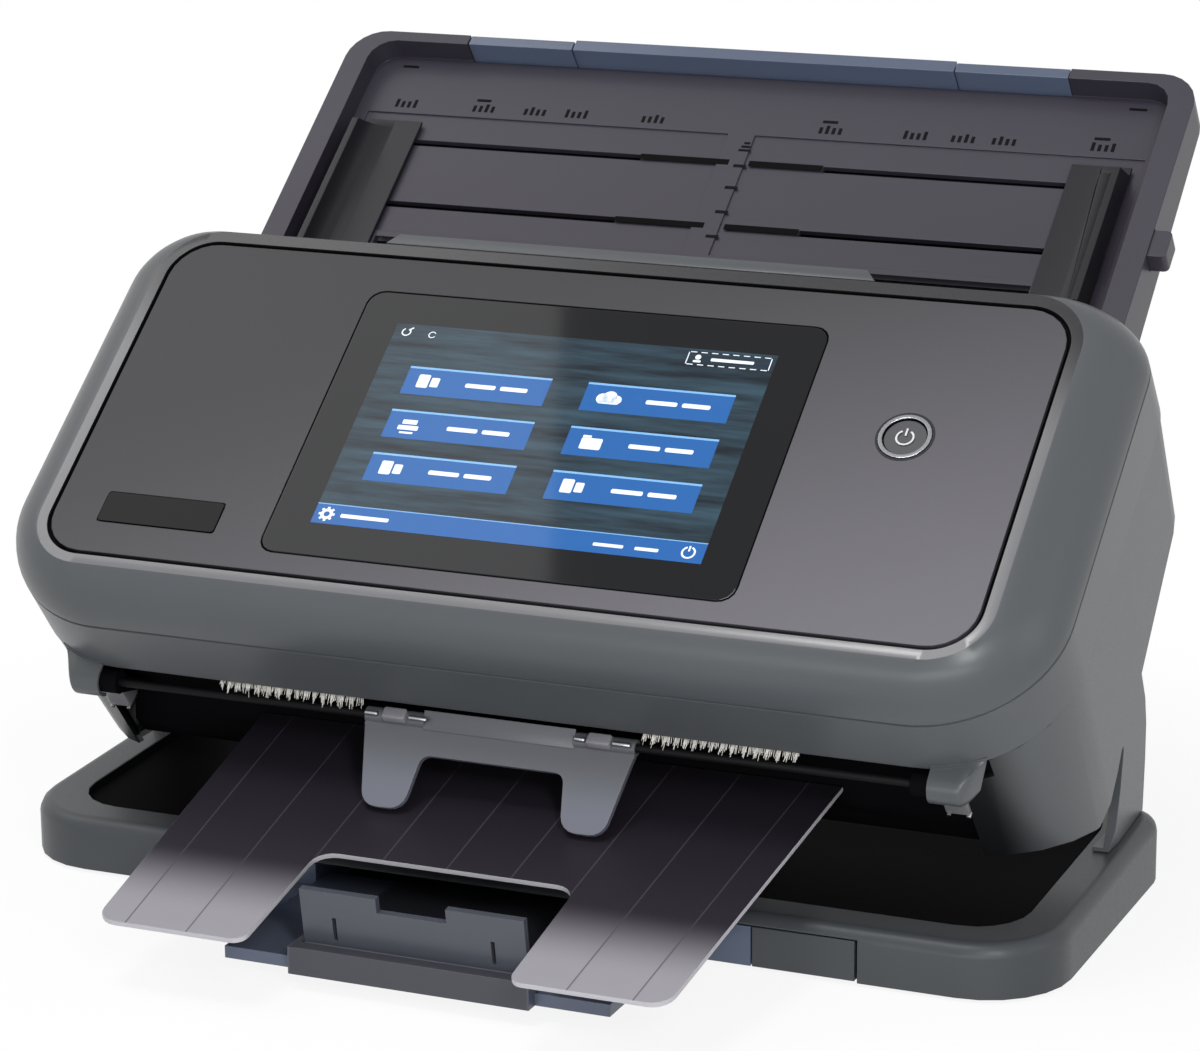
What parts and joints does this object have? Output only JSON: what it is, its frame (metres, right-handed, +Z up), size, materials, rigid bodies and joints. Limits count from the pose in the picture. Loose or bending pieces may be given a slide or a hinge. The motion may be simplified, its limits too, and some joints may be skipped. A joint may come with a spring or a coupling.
{
  "type": "document scanner",
  "caption": "Desktop document scanner with a tilted touch display on a hinged front cover, a paper chute with coupled guides and a telescoping output tray.",
  "frame": {"origin": "centre of the bounding box on the table", "axes": "+X to the machine's own left-to-right seen from the front, +Y to the back, +Z up"},
  "size_m": [0.32, 0.2915, 0.2211],
  "materials": {
    "base_shell_finish": "satin",
    "base_bottom_plate_finish": "satin",
    "foot_front_left_finish": "matte",
    "foot_front_right_finish": "matte",
    "foot_rear_left_finish": "matte",
    "foot_rear_right_finish": "matte",
    "lower_housing_finish": "satin",
    "side_cover_left_finish": "satin",
    "side_cover_right_finish": "satin",
    "lower_guide_finish": "satin",
    "lower_scan_module_finish": "satin",
    "lower_scan_glass_finish": "clear",
    "motor_finish": "satin",
    "main_board_finish": "satin",
    "power_inlet_finish": "satin",
    "data_port_finish": "satin",
    "network_port_finish": "satin",
    "hinge_rod_finish": "polished",
    "output_sheet_finish": "grained",
    "chute_panel_finish": "satin",
    "chute_lug_finish": "satin",
    "chute_back_plate_finish": "satin",
    "cover_shell_finish": "satin",
    "front_panel_finish": "satin",
    "display_glass_finish": "gloss",
    "display_module_finish": "satin",
    "badge_plate_finish": "gloss",
    "power_ring_finish": "polished",
    "button_switch_finish": "satin",
    "cover_guide_finish": "satin",
    "upper_scan_module_finish": "satin",
    "upper_scan_glass_finish": "clear",
    "brush_left_finish": "fibres",
    "brush_right_finish": "fibres",
    "power_button_finish": "satin",
    "exit_idler_finish": "satin",
    "feed_idler_finish": "satin",
    "separation_roller_finish": "matte",
    "paper_flap_finish": "satin",
    "feed_roller_finish": "matte",
    "feed_gear_finish": "satin",
    "exit_roller_finish": "matte",
    "exit_gear_finish": "satin",
    "pick_roller_finish": "matte",
    "pick_gear_finish": "satin",
    "large_gear_finish": "satin",
    "idler_gear_finish": "satin",
    "motor_pinion_finish": "satin",
    "tray_outer_stage_finish": "smoked",
    "tray_middle_stage_finish": "smoked",
    "tray_inner_stage_finish": "smoked",
    "stopper_pin_finish": "satin",
    "paper_stopper_finish": "smoked",
    "guide_left_finish": "satin",
    "rack_left_finish": "satin",
    "guide_right_finish": "satin",
    "rack_right_finish": "satin",
    "rack_pinion_finish": "satin",
    "extension_outer_finish": "smoked",
    "extension_inner_finish": "smoked"
  },
  "bodies": {
    "base": {"base_shell": "base_shell_finish", "base_bottom_plate": "base_bottom_plate_finish", "foot_front_left": "foot_front_left_finish", "foot_front_right": "foot_front_right_finish", "foot_rear_left": "foot_rear_left_finish", "foot_rear_right": "foot_rear_right_finish", "lower_housing": "lower_housing_finish", "side_cover_left": "side_cover_left_finish", "side_cover_right": "side_cover_right_finish", "lower_guide": "lower_guide_finish", "lower_scan_module": "lower_scan_module_finish", "lower_scan_glass": "lower_scan_glass_finish", "motor": "motor_finish", "main_board": "main_board_finish", "power_inlet": "power_inlet_finish", "data_port": "data_port_finish", "network_port": "network_port_finish", "hinge_rod": "hinge_rod_finish", "output_sheet": "output_sheet_finish", "chute_panel": "chute_panel_finish", "chute_lug": "chute_lug_finish", "chute_back_plate": "chute_back_plate_finish"},
    "cover": {"cover_shell": "cover_shell_finish", "front_panel": "front_panel_finish", "display_glass": "display_glass_finish", "display_module": "display_module_finish", "badge_plate": "badge_plate_finish", "power_ring": "power_ring_finish", "button_switch": "button_switch_finish", "cover_guide": "cover_guide_finish", "upper_scan_module": "upper_scan_module_finish", "upper_scan_glass": "upper_scan_glass_finish", "brush_left": "brush_left_finish", "brush_right": "brush_right_finish"},
    "power_button": {"power_button": "power_button_finish"},
    "exit_idler": {"exit_idler": "exit_idler_finish"},
    "feed_idler": {"feed_idler": "feed_idler_finish"},
    "separation_roller": {"separation_roller": "separation_roller_finish"},
    "flap": {"paper_flap": "paper_flap_finish"},
    "feed_drive": {"feed_roller": "feed_roller_finish", "feed_gear": "feed_gear_finish"},
    "exit_drive": {"exit_roller": "exit_roller_finish", "exit_gear": "exit_gear_finish"},
    "pick_drive": {"pick_roller": "pick_roller_finish", "pick_gear": "pick_gear_finish"},
    "large_gear": {"large_gear": "large_gear_finish"},
    "idler_gear": {"idler_gear": "idler_gear_finish"},
    "motor_pinion": {"motor_pinion": "motor_pinion_finish"},
    "tray_outer": {"tray_outer_stage": "tray_outer_stage_finish"},
    "tray_middle": {"tray_middle_stage": "tray_middle_stage_finish"},
    "tray_inner": {"tray_inner_stage": "tray_inner_stage_finish", "stopper_pin": "stopper_pin_finish"},
    "stopper": {"paper_stopper": "paper_stopper_finish"},
    "guide_left": {"guide_left": "guide_left_finish", "rack_left": "rack_left_finish"},
    "guide_right": {"guide_right": "guide_right_finish", "rack_right": "rack_right_finish"},
    "rack_pinion": {"rack_pinion": "rack_pinion_finish"},
    "extension_outer": {"extension_outer": "extension_outer_finish"},
    "extension_inner": {"extension_inner": "extension_inner_finish"}
  },
  "joints": [
    {"name": "cover_hinge", "type": "hinge", "parent": "base", "child": "cover", "pos_m": [0, -0.06312, 0.05942], "axis": [1, 0, 0], "range_deg": [0, 60]},
    {"name": "power_button_press", "type": "slide", "parent": "cover", "child": "power_button", "axis": [0, 0.6124, -0.7906], "range_m": [0, 0.0009], "stiffness_N_per_m": 300, "springref_m": -0.001},
    {"name": "exit_idler_spin", "type": "hinge", "parent": "cover", "child": "exit_idler", "pos_m": [0, -0.04387, 0.08128], "axis": [1, 0, 0], "continuous": true},
    {"name": "feed_idler_spin", "type": "hinge", "parent": "cover", "child": "feed_idler", "pos_m": [0, -0.00118, 0.11435], "axis": [1, 0, 0], "continuous": true},
    {"name": "separation_spin", "type": "hinge", "parent": "cover", "child": "separation_roller", "pos_m": [0, 0.02253, 0.13272], "axis": [1, 0, 0], "continuous": true},
    {"name": "flap_swing", "type": "hinge", "parent": "base", "child": "flap", "pos_m": [0, -0.06312, 0.05942], "axis": [1, 0, 0], "range_deg": [-50, 0]},
    {"name": "feed_spin", "type": "hinge", "parent": "base", "child": "feed_drive", "pos_m": [0, 0.00923, 0.10091], "axis": [1, 0, 0], "continuous": true},
    {"name": "exit_spin", "type": "hinge", "parent": "base", "child": "exit_drive", "pos_m": [0, -0.03346, 0.06784], "axis": [1, 0, 0], "continuous": true},
    {"name": "pick_spin", "type": "hinge", "parent": "base", "child": "pick_drive", "pos_m": [0, 0.03295, 0.11928], "axis": [1, 0, 0], "continuous": true},
    {"name": "large_gear_spin", "type": "hinge", "parent": "base", "child": "large_gear", "pos_m": [-0.141, -0.00564, 0.07601], "axis": [1, 0, 0], "continuous": true},
    {"name": "idler_gear_spin", "type": "hinge", "parent": "base", "child": "idler_gear", "pos_m": [-0.141, 0.02718, 0.10223], "axis": [1, 0, 0], "continuous": true},
    {"name": "motor_spin", "type": "hinge", "parent": "base", "child": "motor_pinion", "pos_m": [-0.141, 0.01758, 0.08528], "axis": [1, 0, 0], "continuous": true},
    {"name": "tray_outer_slide", "type": "slide", "parent": "base", "child": "tray_outer", "axis": [0, -1, 0], "range_m": [0, 0.045]},
    {"name": "tray_middle_slide", "type": "slide", "parent": "tray_outer", "child": "tray_middle", "axis": [0, -1, 0], "range_m": [0, 0.045]},
    {"name": "tray_inner_slide", "type": "slide", "parent": "tray_middle", "child": "tray_inner", "axis": [0, 1, 0], "range_m": [0, 0.048]},
    {"name": "stopper_fold", "type": "hinge", "parent": "tray_inner", "child": "stopper", "pos_m": [0, -0.1187, 0.0107], "axis": [1, 0, 0], "range_deg": [-98, 0]},
    {"name": "guide_left_slide", "type": "slide", "parent": "base", "child": "guide_left", "axis": [1, 0, 0], "range_m": [0, 0.078]},
    {"name": "guide_right_slide", "type": "slide", "parent": "base", "child": "guide_right", "axis": [-1, 0, 0], "range_m": [0, 0.078]},
    {"name": "rack_pinion_spin", "type": "hinge", "parent": "base", "child": "rack_pinion", "pos_m": [0, 0.10235, 0.18025], "axis": [0, 0.6124, -0.7906], "range_deg": [0, 746.85]},
    {"name": "extension_outer_slide", "type": "slide", "parent": "base", "child": "extension_outer", "axis": [0, 0.7906, 0.6124], "range_m": [0, 0.028]},
    {"name": "extension_inner_slide", "type": "slide", "parent": "extension_outer", "child": "extension_inner", "axis": [0, 0.7906, 0.6124], "range_m": [0, 0.025]}
  ],
  "couplings": [
    {"joint": "exit_spin", "follows": "feed_spin", "ratio": 1},
    {"joint": "pick_spin", "follows": "feed_spin", "ratio": 1},
    {"joint": "large_gear_spin", "follows": "feed_spin", "ratio": -0.45},
    {"joint": "idler_gear_spin", "follows": "feed_spin", "ratio": -1},
    {"joint": "motor_spin", "follows": "feed_spin", "ratio": 1.8},
    {"joint": "guide_right_slide", "follows": "guide_left_slide", "ratio": 1},
    {"joint": "rack_pinion_spin", "follows": "guide_left_slide", "rad_per_m": 166.67}
  ]
}
